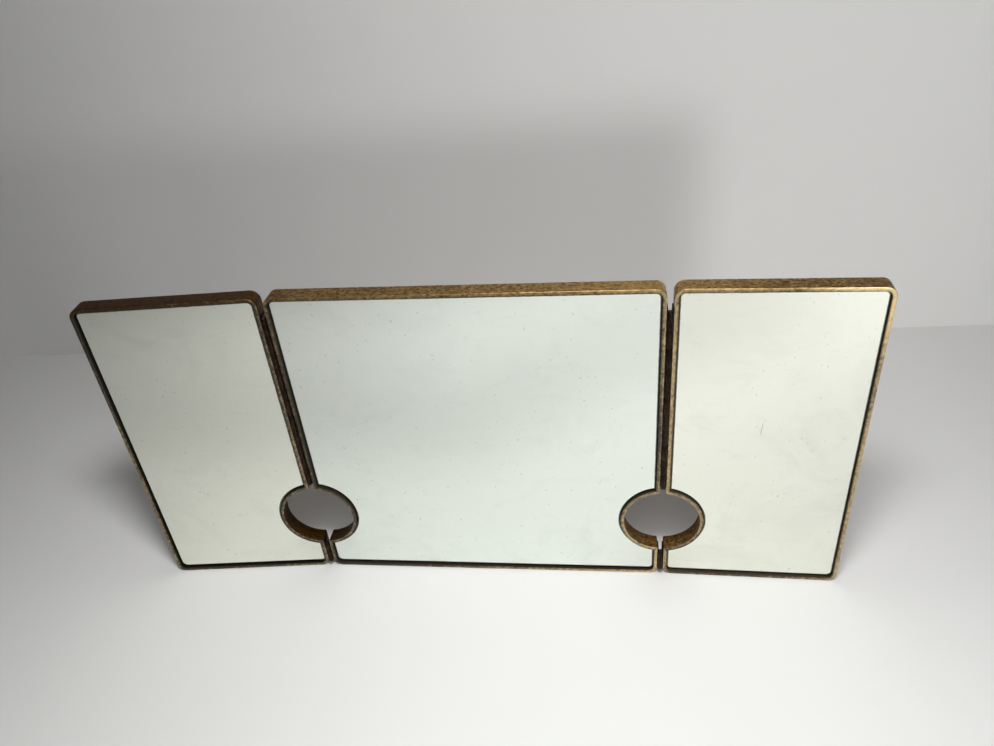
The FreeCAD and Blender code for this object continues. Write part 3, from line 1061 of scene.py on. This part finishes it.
def mastic():
    material, tree, shader = startMaterial("darkMastic")
    values = masticValues
    lumps = noise(tree, objectPlace(tree), values["lumpScale"], 4, 0.6)
    colour = ramp(tree, lumps, ((0.3, values["dark"]), (0.7, values["light"])))
    feed(tree, shader, colour=colour, roughness=values["rough"],
         normal=bump(tree, lumps, values["lumpDepth"], 0.6))
    return material


# all the pieces, panel by panel and then hinge by hinge

def dress(piece, material):
    piece.data.materials.clear()
    piece.data.materials.append(material)


edgeMaterial = glassEdge()
paintMaterial = backPaint()
boardMaterial = hardboard()
masticMaterial = mastic()
hingeMaterial = wornMetal("hinge")
pinMaterial = wornMetal("pin")
hingeScrewMaterial = wornMetal("hingeScrew")
cleatMaterial = wornMetal("cleat")
screwMaterial = wornMetal("screw")

for panel in panels:
    strip = makeStrip(panel)
    dress(strip, agedBrass(panel))
    glass = makeGlass(panel)
    dress(glass, silverFace(panel))
    glass.data.materials.append(edgeMaterial)
    glass.data.materials.append(paintMaterial)
    for face in glass.data.polygons:
        facesBack = face.normal.y > 0.9
        facesFront = face.normal.y < -0.9
        face.material_index = 2 if facesBack else 0 if facesFront else 1
    board = makeBoard(panel)
    dress(board, boardMaterial)
    dress(frame["nodes"][panel + "_mastic"], masticMaterial)
    cleats = refineNode(panel + "_cleats", "cleats")
    dress(cleats, cleatMaterial)
    screws = refineNode(panel + "_cleat_screws", "cleatScrews")
    dress(screws, screwMaterial)
    print(panel, "made: strip", len(strip.data.polygons), "faces, glass", len(glass.data.polygons),
          "board", len(board.data.polygons))

for side in ("left", "right"):
    for level in ("upper", "lower"):
        start = f"{side}_{level}_hinge_"
        for part in ("centre", "wing"):
            leaf = refineNode(start + part + "_leaf", "leaf")
            dress(leaf, hingeMaterial)
            screws = refineNode(start + part + "_screws", "hingeScrews")
            dress(screws, hingeScrewMaterial)
        pin = refineNode(start + "pin", "pin")
        dress(pin, pinMaterial)
print("hinges made")


# pale paper on the floor and on a wall behind

stageValues = {
    "floorSize": 7.0,
    "wallPlace": (-0.10, 0.392, 0.0),
    "wallTurn": 2.0,
    "wallWidth": 3.4,
    "wallHeight": 2.2,
    "white": (0.80, 0.797, 0.785),
    "dim": 0.97,              # of the white, in faint mottles
    "mottleScale": 6.0,
    "rough": 0.85,
    "fadeStart": 0.86,        # from here outwards the paper fades into the backdrop
    "fadeEnd": 1.32,
}


def stageMaterial(name, oneSided):
    material, tree, shader = startMaterial(name)
    place = objectPlace(tree)
    mottle = noise(tree, place, stageValues["mottleScale"], 3)
    white = stageValues["white"]
    dim = tuple(stageValues["dim"] * part for part in white)
    feed(tree, shader, colour=mixColour(tree, mottle, white, dim), roughness=stageValues["rough"])
    away = addNode(tree, "VectorMath", {0: place}, operation="LENGTH").outputs["Value"]
    hidden = spread(tree, away, stageValues["fadeStart"], stageValues["fadeEnd"], 0.0, 1.0, soft=True)
    if oneSided:
        # seen from behind, the wall lets the view through to the back of the mirror
        backfacing = addNode(tree, "NewGeometry").outputs["Backfacing"]
        hidden = calculate(tree, "MAXIMUM", hidden, backfacing)
    clear = addNode(tree, "BsdfTransparent").outputs[0]
    mix = addNode(tree, "MixShader", {0: hidden, 1: shader.outputs[0], 2: clear})
    tree.links.new(mix.outputs[0], tree.nodes["Material Output"].inputs["Surface"])
    return material


pickNothing()
bpy.ops.mesh.primitive_plane_add(size=stageValues["floorSize"])
floor = bpy.context.object
floor.name = "floor"
dress(floor, stageMaterial("floorPaper", False))

pickNothing()
bpy.ops.mesh.primitive_plane_add(size=1, location=(0, 0, stageValues["wallHeight"] / 2),
                                 rotation=(math.radians(90), 0, 0))
wall = bpy.context.object
wall.name = "wall"
wall.scale = (stageValues["wallWidth"], stageValues["wallHeight"], 1)
settle(wall)
wall.rotation_euler.z = math.radians(stageValues["wallTurn"])
wall.location = stageValues["wallPlace"]
settle(wall)
dress(wall, stageMaterial("wallPaper", True))


# light and camera

# two lamps hang overhead, two stand low on the right and light the wall, two even out the floor in front,
# and the last stands beyond the wall and lights only the floor there; "spread" is in degrees
lightValues = {
    "overheadNear": {"place": (0.08, -0.32, 0.85), "target": (0.08, -0.20, 0.0),
                     "size": 0.18, "power": 3.8, "spread": 180, "inMirrors": True},
    "overheadHigh": {"place": (0.26, -0.50, 1.20), "target": (0.26, -0.38, 0.0),
                     "size": 0.26, "power": 4.1, "spread": 180, "inMirrors": True},
    "lampRight": {"place": (0.50, -0.80, 0.266), "target": (0.20, 0.39, 0.30),
                  "size": 0.17, "power": 1.6, "spread": 180, "inMirrors": False},
    "floorFill": {"place": (0.08, -0.62, 0.90), "target": (0.08, -0.30, 0.0),
                  "size": 0.40, "power": 0.50, "spread": 80, "inMirrors": True},
    "floorRight": {"place": (0.56, -0.62, 0.70), "target": (0.52, -0.50, 0.0),
                   "size": 0.10, "power": 0.045, "spread": 40, "inMirrors": True},
    "wallRight": {"place": (0.75, -2.30, 0.32), "target": (0.62, 0.39, 0.35),
                  "size": 0.45, "power": 0.74, "spread": 50, "inMirrors": False},
    "behindWall": {"place": (-0.10, 2.00, 1.60), "target": (-0.20, 0.80, 0.0),
                   "size": 0.60, "power": 15.0, "spread": 180, "inMirrors": True},
}
worldValues = {
    "colour": (1.0, 1.0, 0.99),
    "light": 0.02,            # what it adds to the lamps
    "backdrop": 0.46,         # as the camera and the mirrors see it
}
cameraValues = {
    "place": (0.107799, -0.508644, 0.555133),
    "turnLeft": 9.5386,       # degrees, as the next two
    "lookDown": 33.5772,
    "roll": -5.7758,
    "lens": 28.765,
}


def aim(thing, target):
    thing.rotation_euler = (Vector(target) - thing.location).to_track_quat("-Z", "Y").to_euler()


# the low lamps leave the mirrors out, so that no lamp shows in them
allButMirrors = bpy.data.collections.new("allButMirrors")
for panel in panels:
    allButMirrors.objects.link(bpy.data.objects[panel + "_glass"])
for item in allButMirrors.collection_objects:
    item.light_linking.link_state = "EXCLUDE"

for name, values in lightValues.items():
    lamp = bpy.data.lights.new(name, "AREA")
    lamp.shape = "DISK"
    lamp.size = values["size"]
    lamp.spread = math.radians(values["spread"])
    lamp.energy = values["power"]
    light = bpy.data.objects.new(name, lamp)
    if not values["inMirrors"]:
        light.light_linking.receiver_collection = allButMirrors
    light.location = values["place"]
    bpy.context.scene.collection.objects.link(light)
    aim(light, values["target"])

world = bpy.data.worlds.new("softRoom")
world.use_nodes = True
background = world.node_tree.nodes["Background"]
background.inputs["Color"].default_value = (*worldValues["colour"], 1)
rays = addNode(world.node_tree, "LightPath").outputs
seen = calculate(world.node_tree, "MAXIMUM", rays["Is Camera Ray"], rays["Is Singular Ray"])
strength = spread(world.node_tree, seen, 0.0, 1.0, worldValues["light"], worldValues["backdrop"])
world.node_tree.links.new(strength, background.inputs["Strength"])
bpy.context.scene.world = world

lens = bpy.data.cameras.new("camera")
lens.lens = cameraValues["lens"]
camera = bpy.data.objects.new("camera", lens)
bpy.context.scene.collection.objects.link(camera)
camera.location = cameraValues["place"]
turn = Matrix.Rotation(math.radians(cameraValues["turnLeft"]), 3, "Z")
tilt = Matrix.Rotation(math.radians(90 - cameraValues["lookDown"]), 3, "X")
roll = Matrix.Rotation(math.radians(cameraValues["roll"]), 3, "Z")
camera.rotation_euler = (turn @ tilt @ roll).to_euler()
bpy.context.scene.camera = camera
bpy.context.scene.view_settings.view_transform = "Standard"
print("stage, light and camera set")
